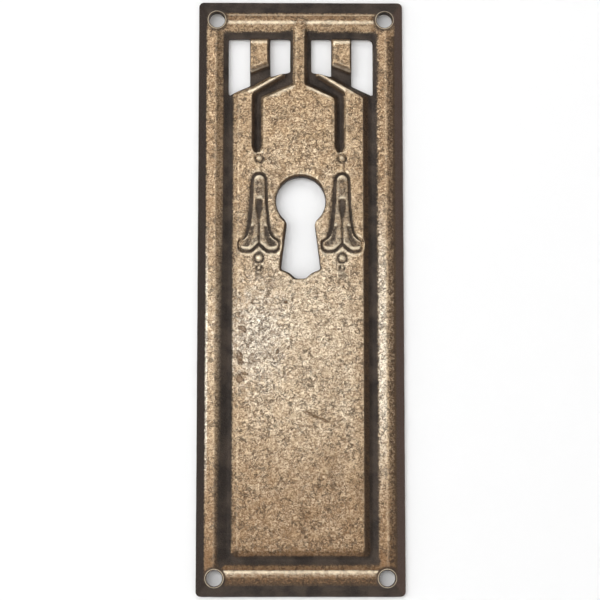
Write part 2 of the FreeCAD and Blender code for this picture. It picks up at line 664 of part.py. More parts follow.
def buildCollars():
    """Metal drawn back to the door round the keyhole and up round the nail holes."""
    wall = size["collar_wall"]
    length = "sizes.relief + sizes.sheet / 2"
    head = circles(plate, "head_collar_outline", "0", "sizes.head_radius + sizes.collar_wall", [("0", "0")])
    pad(plate, "head_collar", head, length)
    slot = outline(plate, "slot_collar_outline", "0", grown(slotLoop(), wall))
    pad(plate, "slot_collar", slot, length)
    nails = circles(plate, "nail_collar_outline", "0", "sizes.nail_radius + sizes.nail_wall", nailCentres())
    pad(plate, "nail_collars", nails, f"{PANEL_LEVEL} + sizes.nail_proud")


def nailCentres():
    high = "(sizes.head_from_top - sizes.nail_from_top)"
    low = f"({high} - sizes.nail_along)"
    return [(f"{side} * sizes.nail_across / 2", up) for side in (-1, 1) for up in (high, low)]


def windowLoops(side):
    """Outlines of the inner and the outer window on one side."""
    radius = size["window_radius"]
    rimFoot = halfWidth - size["rim_side"] - size["rim_slope_side"]
    top = down(size["window_top"])
    inner = [
        (size["inner_near"], top, radius),
        (size["inner_far"], top, radius),
        (size["inner_far"], down(size["inner_far_end"]), radius / 2),
        (size["inner_bend"], down(size["inner_bend_end"]), radius),
        (size["inner_near"], down(size["inner_near_end"]), radius / 2),
    ]
    outer = [
        (size["outer_near"], top, radius),
        (rimFoot, top, size["window_turn"] if side > 0 else radius),
        (rimFoot, down(size["outer_far_end"]), radius / 2),
        (size["outer_near"], down(size["outer_near_end"]), radius / 2),
    ]
    return flipped(inner, side), flipped(outer, side)


def buildOpenings():
    """Windows, keyhole and nail holes, all through the sheet."""
    for side, name in SIDES:
        for loop, place in zip(windowLoops(side), ("inner", "outer")):
            window = outline(plate, f"{name}_{place}_window_outline", "0", loop)
            pierce(plate, f"{name}_{place}_window", window)
    pierce(plate, "keyhole_head", circles(plate, "head_outline", "0", "sizes.head_radius", [("0", "0")]))
    pierce(plate, "keyhole_slot", outline(plate, "slot_outline", "0", slotLoop()))
    for side, name in SIDES:
        pierce(plate, f"{name}_neck", outline(plate, f"{name}_neck_outline", "0", neckLoop(side)))
    nails = circles(plate, "nail_outline", "0", "sizes.nail_radius", nailCentres())
    pierce(plate, "nail_holes", nails)


def buildLip():
    """The worn lip round the keyhole."""
    centre = [("0", "0")]
    lipFoot = f"({PANEL_LEVEL} - sizes.lip_depth)"
    head = [
        circles(plate, "lip_head_top", PANEL_LEVEL, "sizes.head_radius + sizes.lip_width", centre),
        circles(plate, "lip_head_foot", lipFoot, "sizes.head_radius", centre),
    ]
    loft(plate, "head_lip", head, cuts=True)
    slot = [
        outline(plate, "lip_slot_top", PANEL_LEVEL, grown(slotLoop(), size["lip_width"])),
        outline(plate, "lip_slot_foot", lipFoot, slotLoop()),
    ]
    loft(plate, "slot_lip", slot, cuts=True)


def checkModel():
    """Stop if a feature failed or a solid isn't whole."""
    for item in doc.Objects:
        if "Invalid" in item.State or "Error" in item.State:
            raise RuntimeError(f"{item.Name} failed: {item.State}")
    for piece in pieces:
        if piece.Shape.isNull() or not piece.Shape.isValid():
            raise RuntimeError(f"{piece.Label} has no valid shape")
        if len(piece.Shape.Solids) != 1:
            raise RuntimeError(f"{piece.Label} has {len(piece.Shape.Solids)} solids")


def newBody(name):
    body = doc.addObject("PartDesign::Body", name)
    body.Label = name
    body.Placement = Placement(Vector(0, 0, 0), Rotation())
    body.AllowCompound = True
    return body


SIDES = ((-1, "left"), (1, "right"))
BEADS = (
    ("high_bead", "sizes.bead_radius", "sizes.bead_high"),
    ("low_bead", "sizes.bead_large", "sizes.bead_low"),
    ("last_bead", "sizes.bead_small", "sizes.bead_last"),
)

plate = newBody(PLATE)
grooves = newBody("flower_grooves")
bells = newBody("bell_flowers")

buildRim()
buildPanel()
for side, name in SIDES:
    buildBar(side, f"{name}_bar")
buildCollars()
buildBosses()
buildOpenings()
buildLip()
buildGrooves(grooves)
buildBells(bells)
combine(grooves, "Cut")
combine(bells, "Fuse")
doc.recompute()

pieces = [plate]
checkModel()
os.makedirs("parts", exist_ok=True)
for piece in pieces:
    piece.Shape.exportStep(f"parts/{piece.Label}.step")
    box = piece.Shape.BoundBox
    print(f"{piece.Label}: {box.XLength:.2f} x {box.YLength:.2f} x {box.ZLength:.2f} mm")
    print(f"volume {piece.Shape.Volume:.1f} mm3, faces {len(piece.Shape.Faces)}")
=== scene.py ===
import math

import bpy
import numpy as np
from mathutils import Matrix


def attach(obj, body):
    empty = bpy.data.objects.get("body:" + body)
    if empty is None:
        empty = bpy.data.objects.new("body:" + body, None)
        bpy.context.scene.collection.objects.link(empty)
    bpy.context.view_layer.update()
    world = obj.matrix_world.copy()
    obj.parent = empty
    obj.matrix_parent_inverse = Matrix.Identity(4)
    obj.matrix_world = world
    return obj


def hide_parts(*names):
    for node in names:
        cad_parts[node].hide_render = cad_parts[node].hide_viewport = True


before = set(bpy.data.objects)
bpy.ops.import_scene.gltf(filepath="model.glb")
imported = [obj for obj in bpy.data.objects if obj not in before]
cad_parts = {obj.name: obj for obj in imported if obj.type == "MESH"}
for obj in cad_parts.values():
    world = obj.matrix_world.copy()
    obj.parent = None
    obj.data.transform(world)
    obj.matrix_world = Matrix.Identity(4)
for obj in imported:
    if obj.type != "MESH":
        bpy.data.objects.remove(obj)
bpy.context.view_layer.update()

# lengths are in millimetres while the plate is worked on, and in metres in the scene
mm = 0.001

plateLook = {
    "voxel": 0.15,
    "softPasses": 5,
    "softFactor": 0.5,
    "waviness": 0.05,
    "waveSize": 5.0,
    "hammer": 0.016,
    "hammerSize": 0.7,
    "triangles": 192000,
    "mapCell": 0.2,
    "edgeReach": 0.4,
    "hollowReach": 1.5,
}

brassLook = {
    "patinaDark": (0.018, 0.013, 0.010),
    "patinaBrown": (0.060, 0.043, 0.032),
    "litBevelBrown": (0.080, 0.050, 0.038),
    "shadedBevelDark": (0.024, 0.014, 0.009),
    "backBrown": (0.230, 0.160, 0.098),
    "strokeBrown": (0.135, 0.068, 0.030),
    "brassBrown": (0.270, 0.165, 0.090),
    "brassGold": (0.640, 0.465, 0.280),
    "brassPale": (0.900, 0.770, 0.580),
    "brassSheen": (0.980, 0.900, 0.750),
    "brassCrest": (0.960, 0.830, 0.620),
    "wornRough": 0.33,
    "patinaRough": 0.50,
    "bumpDepth": 0.04,
    "mottles": (
        (0.35, 4.0, 0.0, 0.30, 0.70),
        (0.90, 3.0, 0.4, 0.35, 0.65),
        (2.90, 2.0, 1.0, 0.42, 0.58),
        (6.00, 2.0, 0.0, 0.30, 0.70),
    ),
    # places on the front, in millimetres from the keyhole's round head
    "places": {
        "nailAcross": 15.6,
        "nailMiddle": -17.3,
        "nailUp": 51.5,
        "flowerAcross": 7.6,
        "flowerSides": (3.9, 11.3),
        "flowerEnds": (-14.8, 9.0),
        "bellEnds": (-9.8, 5.0),
        "beadEnds": (-14.4, -12.9),
        "fieldEnds": (-67.6, 33.4),
        "keyholeEnds": (-14.5, 5.6),
        "panelFoot": (-67.0, -62.0),
        "stripTops": (16.0, 23.5),
        "leftRimInner": (-16.6, -14.4),
        "leftRimOuter": (-17.6, -17.05),
        "rimCrest": (14.2, 16.3),
        "rightRimCrest": (14.3, 15.6),
        "topLine": (35.05, 35.25),
        "nailRing": (1.60, 1.72),
    },
}

# ragged darker marks on the front: x, z, half width, half height, turn in degrees, strength
plateMarks = (
    (-10.7, -21.1, 0.85, 0.75, 0, 0.50),
    (-10.6, -23.7, 1.10, 0.60, -38, 0.90),
    (-8.8, -25.7, 0.55, 0.35, 20, 0.85),
    (-9.7, -26.9, 0.35, 0.60, 10, 0.65),
    (-11.1, -29.1, 0.70, 1.40, 12, 0.85),
    (-8.9, -29.1, 0.65, 1.25, -8, 0.55),
    (-11.2, -32.8, 0.80, 0.95, 20, 1.00),
    (-10.1, -31.9, 0.60, 0.35, -15, 0.95),
    (-8.8, -18.7, 0.25, 0.60, 0, 0.60),
    (-7.7, -20.2, 0.25, 0.60, 20, 0.60),
    (-2.8, -18.8, 0.35, 0.22, 25, 0.95),
    (-5.5, -21.1, 0.45, 0.30, 10, 0.55),
    (-5.0, -24.5, 0.80, 0.60, 0, 0.35),
    (-4.3, -27.9, 0.25, 0.50, -30, 0.80),
    (-2.2, -27.2, 0.25, 0.50, -25, 0.70),
    (-8.4, -36.6, 1.30, 0.50, -20, 0.30),
    (1.3, -39.1, 1.00, 0.30, -23, 0.85),
    (2.8, -39.7, 0.95, 0.30, -23, 0.95),
    (4.3, -40.4, 0.95, 0.28, -23, 0.85),
    (6.7, -40.5, 0.80, 0.22, 0, 0.60),
    (6.8, -41.6, 0.80, 0.22, -25, 0.60),
    (6.5, -50.2, 1.60, 4.00, 5, 0.22),
    (10.9, -52.2, 0.90, 6.00, 0, 0.28),
    (-4.8, -15.3, 2.80, 1.00, 0, 0.28),
    (-3.9, 5.3, 1.50, 0.80, 35, 0.45),
    (3.6, 5.4, 1.20, 0.60, -35, 0.35),
    (-4.9, 3.2, 0.60, 1.40, 10, 0.35),
    (-16.0, 29.1, 0.25, 0.25, 0, 1.00),
    (0.3, 32.8, 0.50, 0.20, 35, 0.90),
)

roomLook = {
    "worldLight": 0.05,
    "keyPlace": (-0.45, -0.90, 0.17),
    "keySize": (1.45, 0.28),
    "keyPower": 7.1,
    "topPlace": (-0.05, -0.55, 0.55),
    "topSize": (0.80, 0.35),
    "topPower": 2.0,
    "sidePlace": (-0.72, -0.22, 0.05),
    "sideSize": (0.36, 0.20),
    "sidePower": 0.55,
    "fillPlace": (0.55, -0.40, 0.12),
    "fillSize": (0.30, 0.30),
    "fillPower": 0.3,
    "backPlace": (0.35, 0.80, 0.30),
    "backSize": (0.60, 0.60),
    "backPower": 4.0,
    "paper": (0.90, 0.90, 0.90),
}

cameraLook = {
    "place": (-0.00428, -0.335, -0.05715),
    "tilt": 6.638,
    "pan": -0.711,
    "lens": 109.97,
}


def activate(piece):
    bpy.ops.object.select_all(action="DESELECT")
    piece.select_set(True)
    bpy.context.view_layer.objects.active = piece


def applyModifier(piece, kind, **values):
    modifier = piece.modifiers.new(kind.lower(), kind)
    for key, value in values.items():
        setattr(modifier, key, value)
    activate(piece)
    bpy.ops.object.modifier_apply(modifier=modifier.name)


def pointsOf(piece):
    points = np.empty(len(piece.data.vertices) * 3)
    piece.data.vertices.foreach_get("co", points)
    return points.reshape(-1, 3)


def normalsOf(piece):
    normals = np.empty(len(piece.data.vertices) * 3)
    piece.data.vertices.foreach_get("normal", normals)
    return normals.reshape(-1, 3)


def cloudTexture(name, grain):
    texture = bpy.data.textures.new(name, "CLOUDS")
    texture.noise_scale = grain
    texture.noise_depth = 2
    return texture


def blurred(grid, sigma, ways):
    reach = int(3 * sigma) + 1
    weights = np.exp(-0.5 * (np.arange(-reach, reach + 1) / sigma) ** 2)
    weights /= weights.sum()
    for axis in ways:
        grid = np.apply_along_axis(np.convolve, axis, grid, weights, "same")
    return grid


def sampled(grid, across, up):
    low = np.floor(across).astype(int).clip(0, grid.shape[0] - 2)
    base = np.floor(up).astype(int).clip(0, grid.shape[1] - 2)
    u = (across - low).clip(0, 1)
    v = (up - base).clip(0, 1)
    near = grid[low, base] * (1 - u) + grid[low + 1, base] * u
    far = grid[low, base + 1] * (1 - u) + grid[low + 1, base + 1] * u
    return near * (1 - v) + far * v


# height of the front skin over the back plane; openings stay at zero
def heightGrid(points, normals, cell):
    margin = 6.0
    corner = points.min(0)[[0, 2]] - margin
    count = np.ceil((points.max(0)[[0, 2]] + margin - corner) / cell).astype(int)
    grid = np.zeros(count)
    front = normals[:, 1] < -0.2
    place = ((points[front][:, [0, 2]] - corner) / cell).astype(int)
    np.maximum.at(grid, (place[:, 0], place[:, 1]), -points[front][:, 1])
    return grid, corner


def storeAttribute(piece, name, values):
    attribute = piece.data.attributes.new(name, "FLOAT", "POINT")
    attribute.data.foreach_set("value", values.astype(np.float32))


def buildPlate():
    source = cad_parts["escutcheon_plate"]
    plate = bpy.data.objects.new("plate", source.data.copy())
    bpy.context.scene.collection.objects.link(plate)
    plate.data.materials.clear()
    plate.data.transform(Matrix.Scale(1 / mm, 4))
    applyModifier(plate, "WELD", merge_threshold=0.002)
    applyModifier(plate, "REMESH", mode="VOXEL", voxel_size=plateLook["voxel"])
    applyModifier(plate, "SMOOTH", factor=plateLook["softFactor"], iterations=plateLook["softPasses"])
    print("plate remeshed:", len(plate.data.polygons), "faces")

    applyModifier(
        plate, "DISPLACE", texture=cloudTexture("waves", plateLook["waveSize"]),
        texture_coords="LOCAL", strength=plateLook["waviness"], mid_level=0.5,
    )
    applyModifier(
        plate, "DISPLACE", texture=cloudTexture("hammered", plateLook["hammerSize"]),
        texture_coords="LOCAL", strength=plateLook["hammer"], mid_level=0.5,
    )
    points = pointsOf(plate)
    grid, corner = heightGrid(points, normalsOf(plate), plateLook["mapCell"])
    ratio = plateLook["triangles"] / (2 * len(plate.data.polygons))
    applyModifier(plate, "DECIMATE", ratio=min(1.0, ratio), use_collapse_triangulate=True)
    print("plate thinned:", len(plate.data.polygons), "faces")

    # how far each spot stands over or under what is round it
    points = pointsOf(plate)
    normals = normalsOf(plate)
    cell = plateLook["mapCell"]
    across = (points[:, 0] - corner[0]) / cell - 0.5
    up = (points[:, 2] - corner[1]) / cell - 0.5
    front = np.clip(-normals[:, 1] * 4, 0, 1)
    there = (grid > 0.3).astype(float)
    for name, reach, ways in (
        ("edgeAcross", plateLook["edgeReach"], (0,)),
        ("edgeUp", plateLook["edgeReach"], (1,)),
        ("hollowRelief", plateLook["hollowReach"], (0, 1)),
    ):
        share = blurred(there, reach / cell, ways) + 0.01
        around = sampled(blurred(grid, reach / cell, ways) / share, across, up)
        storeAttribute(plate, name, (-points[:, 1] - around) * front)
    plate.data.transform(Matrix.Scale(mm, 4))
    activate(plate)
    bpy.ops.object.shade_smooth_by_angle(angle=math.radians(45))
    return plate


def linkOrSet(tree, socket, value):
    if isinstance(value, bpy.types.NodeSocket):
        tree.links.new(value, socket)
    elif value is not None:
        socket.default_value = value


def addNode(tree, kind, output, inputs, **settings):
    node = tree.nodes.new(kind)
    for key, value in settings.items():
        setattr(node, key, value)
    for socket, value in inputs.items():
        linkOrSet(tree, node.inputs[socket], value)
    return node.outputs[output]


def calc(tree, operation, first, second=None, third=None):
    inputs = {0: first, 1: second, 2: third}
    return addNode(tree, "ShaderNodeMath", 0, inputs, operation=operation)


# smooth step of a value: fromLow below low, fromHigh above high
def ramp(tree, value, low, high, fromLow=0.0, fromHigh=1.0):
    inputs = {0: value, 1: low, 2: high, 3: fromLow, 4: fromHigh}
    return addNode(tree, "ShaderNodeMapRange", 0, inputs, interpolation_type="SMOOTHSTEP")


# one between low and high, falling off over a soft width
def band(tree, value, low, high, soft):
    rise = ramp(tree, value, low - soft, low + soft)
    fall = ramp(tree, value, high - soft, high + soft, 1.0, 0.0)
    return calc(tree, "MULTIPLY", rise, fall)


def mixColor(tree, factor, first, second, blend="MIX"):
    inputs = {0: factor, 6: colorValue(first), 7: colorValue(second)}
    settings = {"data_type": "RGBA", "blend_type": blend, "clamp_factor": True}
    return addNode(tree, "ShaderNodeMix", 2, inputs, **settings)


def colorValue(value):
    return value if isinstance(value, bpy.types.NodeSocket) else (*value, 1.0)


def newGroup(name, inputs, outputs):
    group = bpy.data.node_groups.new(name, "ShaderNodeTree")
    for label, kind, value in inputs:
        socket = group.interface.new_socket(label, in_out="INPUT", socket_type=kind)
        if value is not None:
            socket.default_value = value
    for label, kind in outputs:
        group.interface.new_socket(label, in_out="OUTPUT", socket_type=kind)
    start = group.nodes.new("NodeGroupInput")
    end = group.nodes.new("NodeGroupOutput")
    return group, start, end


def placeGroup(tree, group, output, **inputs):
    node = tree.nodes.new("ShaderNodeGroup")
    node.node_tree = group
    for label, value in inputs.items():
        linkOrSet(tree, node.inputs[label], value)
    return node.outputs[output]


# cloudy mask with hard or soft edges
def mottleGroup():
    inputs = [
        ("Vector", "NodeSocketVector", None),
        ("Scale", "NodeSocketFloat", 1.0),
        ("Detail", "NodeSocketFloat", 3.0),
        ("Distortion", "NodeSocketFloat", 0.0),
        ("Low", "NodeSocketFloat", 0.4),
        ("High", "NodeSocketFloat", 0.6),
    ]
    group, start, end = newGroup("mottle", inputs, [("Mask", "NodeSocketFloat")])
    noise = addNode(group, "ShaderNodeTexNoise", 0, {
        "Vector": start.outputs["Vector"], "Scale": start.outputs["Scale"],
        "Detail": start.outputs["Detail"], "Distortion": start.outputs["Distortion"],
    })
    mask = ramp(group, noise, start.outputs["Low"], start.outputs["High"])
    group.links.new(mask, end.inputs["Mask"])
    return group


# thin wandering lines, where a noise crosses its middle value
def squiggleGroup():
    inputs = [
        ("Vector", "NodeSocketVector", None),
        ("Scale", "NodeSocketFloat", 1.0),
        ("Width", "NodeSocketFloat", 0.03),
        ("Cover", "NodeSocketFloat", 0.5),
        ("Break", "NodeSocketFloat", 0.4),
    ]
    group, start, end = newGroup("squiggle", inputs, [("Mask", "NodeSocketFloat")])
    noise = addNode(group, "ShaderNodeTexNoise", 0, {
        "Vector": start.outputs["Vector"], "Scale": start.outputs["Scale"],
        "Detail": 2.0, "Distortion": 0.6,
    })
    distance = calc(group, "ABSOLUTE", calc(group, "SUBTRACT", noise, 0.5))
    line = ramp(group, distance, 0.0, start.outputs["Width"], 1.0, 0.0)
    patch = addNode(group, "ShaderNodeTexNoise", 0, {
        "Vector": start.outputs["Vector"], "Detail": 2.0,
        "Scale": calc(group, "MULTIPLY", start.outputs["Scale"], start.outputs["Break"]),
    })
    limit = calc(group, "SUBTRACT", 1.0, start.outputs["Cover"])
    cover = ramp(group, patch, calc(group, "SUBTRACT", limit, 0.06), calc(group, "ADD", limit, 0.06))
    group.links.new(calc(group, "MULTIPLY", line, cover), end.inputs["Mask"])
    return group


# a ragged oval mark at a place on the front
def spotGroup():
    inputs = [
        ("Vector", "NodeSocketVector", None),
        ("Centre", "NodeSocketVector", (0, 0, 0)),
        ("Size", "NodeSocketVector", (1, 1, 1)),
        ("Turn", "NodeSocketFloat", 0.0),
        ("Wobble", "NodeSocketFloat", 0.0),
        ("Soft", "NodeSocketFloat", 0.3),
    ]
    group, start, end = newGroup("spot", inputs, [("Mask", "NodeSocketFloat"), ("Rim", "NodeSocketFloat")])
    offset = addNode(group, "ShaderNodeVectorMath", 0, {
        0: start.outputs["Vector"], 1: start.outputs["Centre"],
    }, operation="SUBTRACT")
    turned = addNode(group, "ShaderNodeVectorRotate", 0, {
        "Vector": offset, "Angle": start.outputs["Turn"],
    }, rotation_type="Y_AXIS")
    scaled = addNode(group, "ShaderNodeVectorMath", 0, {
        0: turned, 1: start.outputs["Size"],
    }, operation="DIVIDE")
    distance = addNode(group, "ShaderNodeVectorMath", "Value", {0: scaled}, operation="LENGTH")
    edge = calc(group, "ADD", distance, start.outputs["Wobble"])
    mask = ramp(group, edge, calc(group, "SUBTRACT", 1.0, start.outputs["Soft"]), 1.0, 1.0, 0.0)
    group.links.new(mask, end.inputs["Mask"])
    rim = calc(group, "MULTIPLY", mask, ramp(group, edge, 0.45, 0.75))
    group.links.new(rim, end.inputs["Rim"])
    return group


def buildAgedBrass():
    material = bpy.data.materials.new("agedBrass")
    material.use_nodes = True
    tree = material.node_tree
    mottle, squiggle, spot = mottleGroup(), squiggleGroup(), spotGroup()

    def times(first, second):
        return calc(tree, "MULTIPLY", first, second)

    def plus(first, second):
        return calc(tree, "ADD", first, second)

    def inverse(value):
        return calc(tree, "SUBTRACT", 1.0, value)

    places = brassLook["places"]

    def less(first, second):
        return calc(tree, "SUBTRACT", first, second)

    def most(first, second):
        return calc(tree, "MAXIMUM", first, second)

    def mixValue(first, second, share):
        return plus(times(first, inverse(share)), times(second, share))

    def zone(value, name, soft):
        return band(tree, value, *places[name], soft)

    texture = tree.nodes.new("ShaderNodeTexCoord")
    place = addNode(tree, "ShaderNodeVectorMath", 0, {
        0: texture.outputs["Object"], "Scale": 1 / mm,
    }, operation="SCALE")
    split = tree.nodes.new("ShaderNodeSeparateXYZ")
    tree.links.new(place, split.inputs[0])
    x, z = split.outputs["X"], split.outputs["Z"]
    side = calc(tree, "ABSOLUTE", x)
    height = times(split.outputs["Y"], -1.0)
    lean = tree.nodes.new("ShaderNodeSeparateXYZ")
    tree.links.new(texture.outputs["Normal"], lean.inputs[0])
    leanX, leanZ = lean.outputs["X"], lean.outputs["Z"]
    facing = times(lean.outputs["Y"], -1.0)
    edgeAcross, edgeUp, hollowRelief = [
        addNode(tree, "ShaderNodeAttribute", "Fac", {}, attribute_name=name)
        for name in ("edgeAcross", "edgeUp", "hollowRelief")
    ]

    # how far from the centre of the nearest nail hole
    nailAcross = less(side, places["nailAcross"])
    nailUp = less(calc(tree, "ABSOLUTE", less(z, places["nailMiddle"])), places["nailUp"])
    nail = calc(tree, "SQRT", plus(times(nailAcross, nailAcross), times(nailUp, nailUp)))

    cloudy, patchy, grain, fine = [
        placeGroup(
            tree, mottle, "Mask", Vector=place, Scale=scale, Detail=detail,
            Distortion=distortion, Low=low, High=high,
        )
        for scale, detail, distortion, low, high in brassLook["mottles"]
    ]
    worms = placeGroup(tree, squiggle, "Mask", Vector=place, Scale=1.0, Width=0.08, Cover=0.50, Break=0.8)
    drawn = addNode(tree, "ShaderNodeVectorMath", 0, {0: place, 1: (0.9, 1.0, 1.25)}, operation="MULTIPLY")
    strokes = placeGroup(tree, squiggle, "Mask", Vector=drawn, Scale=1.9, Width=0.12, Cover=0.56, Break=1.2)
    uneven = addNode(tree, "ShaderNodeTexNoise", 0, {"Vector": place, "Scale": 1.3, "Detail": 3.0})
    wobble = times(less(uneven, 0.5), 1.6)

    # worn clean but for the outer bevel, the grooves and what is hollow in the flowers, with painted light
    # on keyhole walls turned right or up and painted shade on slopes turned to the right
    ragged = times(less(grain, 0.5), 0.07)
    spotty = plus(height, ragged)
    flowers = times(zone(side, "flowerSides", 0.2), zone(z, "flowerEnds", 0.2))
    within = times(ramp(tree, side, 16.0, 16.6, 1.0, 0.0), zone(z, "fieldEnds", 0.3))
    foot = ramp(tree, within, 0.0, 1.0, 1.44, 1.06)
    wearAndShade = ramp(tree, spotty, foot, plus(foot, 0.18))
    # painted light: keyhole walls turned right or up get the brass colour as if lit
    lit = ramp(tree, most(leanX, leanZ), 0.0, 0.5, 0.35, 0.75)
    keyhole = times(times(ramp(tree, side, 5.2, 5.6, 1.0, 0.0), lit), zone(z, "keyholeEnds", 0.2))
    wearAndShade = times(wearAndShade, ramp(tree, plus(facing, keyhole), 0.45, 0.62))
    deep = ramp(tree, flowers, 0.0, 1.0, -0.24, -0.17)
    shallow = plus(deep, ramp(tree, flowers, 0.0, 1.0, 0.16, 0.19))
    dirt = ramp(tree, plus(hollowRelief, ragged), deep, shallow, 1.0, 0.0)
    wearAndShade = times(wearAndShade, inverse(times(dirt, 0.92)))
    halo = ramp(tree, plus(nail, times(ragged, 3.0)), 1.85, 2.5, 1.0, 0.0)
    wearAndShade = times(wearAndShade, inverse(times(halo, 0.75)))
    # painted shade: slopes turned to the right keep the patina colour below a height that rises towards the
    # top, except on the right side
    lowest = plus(ramp(tree, z, -20.0, 12.0, 1.30, 0.90), ramp(tree, z, -55.0, -35.0, 0.15, 0.0))
    shaded = times(ramp(tree, leanX, 0.08, 0.16), ramp(tree, x, 11.0, 11.2, 1.0, 0.0))
    shaded = times(shaded, ramp(tree, spotty, lowest, plus(lowest, 0.60), 1.0, 0.0))
    wearAndShade = times(wearAndShade, inverse(times(shaded, inverse(flowers))))

    # dirt stayed over the whole inside of the bells and the small beads under them
    aside = calc(tree, "ABSOLUTE", less(side, places["flowerAcross"]))
    bell = less(aside, ramp(tree, z, -9.5, 2.5, 3.3, 1.1))
    bell = times(ramp(tree, bell, -0.3, 0.1, 1.0, 0.0), zone(z, "bellEnds", 0.3))
    drop = times(ramp(tree, aside, 0.6, 0.9, 1.0, 0.0), zone(z, "beadEnds", 0.2))
    soiled = times(most(bell, drop), plus(0.15, times(patchy, 0.45)))
    wearAndShade = times(wearAndShade, inverse(soiled))

    # painted shade on slopes turned to the right or down, as if away from the light; a painted highlight
    # along level edges, on top of real buffing of the crests
    turned = most(leanX, times(leanZ, -1.0))
    turnedShade = ramp(tree, plus(turned, times(ragged, 0.6)), 0.07, 0.25)
    under = ramp(tree, turned, 0.30, 0.85)
    lowEdge = times(zone(z, "panelFoot", 0.3), ramp(tree, side, 10.8, 11.6, 1.0, 0.0))
    gentle = plus(ramp(tree, z, 31.0, 31.4), lowEdge)
    turnedShade = mixValue(turnedShade, under, gentle)
    turnedShade = times(turnedShade, ramp(tree, flowers, 0.0, 1.0, 1.0, 0.4))
    turnedShade = times(turnedShade, inverse(times(zone(x, "leftRimInner", 0.1), 0.8)))
    upright = ramp(tree, plus(edgeAcross, times(ragged, 0.15)), 0.04, 0.10)
    level = ramp(tree, plus(edgeUp, times(ragged, 0.15)), 0.025, 0.075)
    level = times(level, inverse(band(tree, z, -66.0, -60.0, 0.5)))

    # no painted highlight on the top edges of the panel and of the side strips
    stripEdge = ramp(tree, side, 9.4, 10.0)
    panelEdge = times(ramp(tree, side, 1.8, 2.2), ramp(tree, side, 6.6, 7.2, 1.0, 0.0))
    panelEdge = times(panelEdge, ramp(tree, plus(z, times(side, -0.43)), 17.0, 17.4, 1.0, 0.0))
    sheenless = times(zone(z, "stripTops", 0.3), most(times(stripEdge, stripEdge), panelEdge))
    level = times(level, inverse(times(sheenless, 0.85)))
    crest = most(times(level, 0.85), times(upright, 0.12))
    crest = times(crest, plus(0.55, times(patchy, 0.45)))
    crest = times(crest, times(ramp(tree, facing, 0.55, 0.9), inverse(times(turnedShade, 0.75))))
    # painted highlight: a thin pale line along the top rim
    topLine = times(times(zone(z, "topLine", 0.06), wearAndShade), ramp(tree, side, 13.5, 14.5, 0.35, 0.0))
    crest = times(most(crest, topLine), ramp(tree, nail, 2.0, 2.2))
    # painted highlight: a thin pale ring round each nail hole
    crest = most(crest, times(zone(nail, "nailRing", 0.05), 0.55))

    patina = mixColor(tree, cloudy, brassLook["patinaDark"], brassLook["patinaBrown"])
    patina = mixColor(tree, times(fine, 0.3), patina, brassLook["patinaBrown"])
    # painted light and shade on the outer bevel: lighter brown where it turns right, darker where it turns
    # left
    outer = ramp(tree, side, 16.6, 17.2)
    litBevel = times(outer, ramp(tree, leanX, 0.1, 0.4))
    shadedBevel = times(outer, ramp(tree, leanX, -0.4, -0.1, 1.0, 0.0))
    patina = mixColor(tree, litBevel, patina, brassLook["litBevelBrown"])
    patina = mixColor(tree, shadedBevel, patina, brassLook["shadedBevelDark"])
    back = ramp(tree, facing, -0.5, -0.2, 1.0, 0.0)
    patina = mixColor(tree, times(back, 0.8), patina, brassLook["backBrown"])

    # painted sheen: palest over the middle of the panel; golden along the sides and towards the top;
    # painted shade: brown at both ends, towards the bottom and on slopes turned away from the light
    pale = band(tree, z, -40.0, -8.0, 20.0)
    golden = times(ramp(tree, side, 7.5, 11.5), 0.45)
    golden = most(golden, ramp(tree, z, 6.0, 22.0, 0.0, 0.6))
    # painted reflection of the key lamp: a pale oval left of the middle of the panel
    sheenSpot = placeGroup(
        tree, spot, "Mask", Vector=place, Centre=(-8.5, -1.9, -25.0), Size=(8.5, 6.0, 13.0),
        Wobble=wobble, Soft=0.9,
    )
    tone = plus(times(pale, 0.65), times(cloudy, 0.30))
    tone = times(plus(tone, times(patchy, 0.25)), inverse(golden))
    brass = mixColor(tree, tone, brassLook["brassGold"], brassLook["brassPale"])
    brass = mixColor(tree, times(sheenSpot, 0.90), brass, brassLook["brassSheen"])
    # painted highlights along the outer edge of the left rim and the crest of the right rim
    rims = times(zone(side, "rimCrest", 0.1), band(tree, z, -46.0, -8.0, 14.0))
    leftLine = times(zone(x, "leftRimOuter", 0.12), band(tree, z, -48.0, -11.0, 9.0))
    rightLine = times(zone(x, "rightRimCrest", 0.2), times(rims, 0.8))
    rimSheen = times(plus(leftLine, rightLine), plus(0.6, times(patchy, 0.4)))
    # painted shade: browner at both ends, towards the bottom and on the rim shoulders
    ends = inverse(band(tree, z, -64.0, 33.6, 1.2))
    lowEnd = ramp(tree, z, -66.0, -34.0, 0.50, 0.06)
    shoulders = plus(ramp(tree, z, -18.0, 0.0, 0.0, 0.18), ramp(tree, z, -66.0, -36.0, 0.10, 0.0))
    shoulders = times(shoulders, ramp(tree, side, 12.8, 13.6))
    speckled = times(inverse(grain), plus(0.25, times(patchy, 0.15)))
    brown = plus(speckled, times(ends, 0.38))
    brown = plus(brown, most(lowEnd, times(golden, 0.30)))
    brown = plus(brown, plus(shoulders, times(inverse(cloudy), 0.15)))
    brown = most(brown, turnedShade)
    brass = mixColor(tree, brown, brass, brassLook["brassBrown"])
    brass = mixColor(tree, rimSheen, brass, brassLook["brassSheen"])
    strokeShare = times(strokes, plus(0.64, times(cloudy, 0.16)))
    brass = mixColor(tree, strokeShare, brass, brassLook["strokeBrown"])
    brass = mixColor(tree, times(worms, 0.7), brass, brassLook["patinaBrown"])
    # painted shade: slopes turned far from the light take the patina brown
    brass = mixColor(tree, ramp(tree, turnedShade, 0.5, 1.0, 0.0, 0.75), brass, brassLook["patinaBrown"])

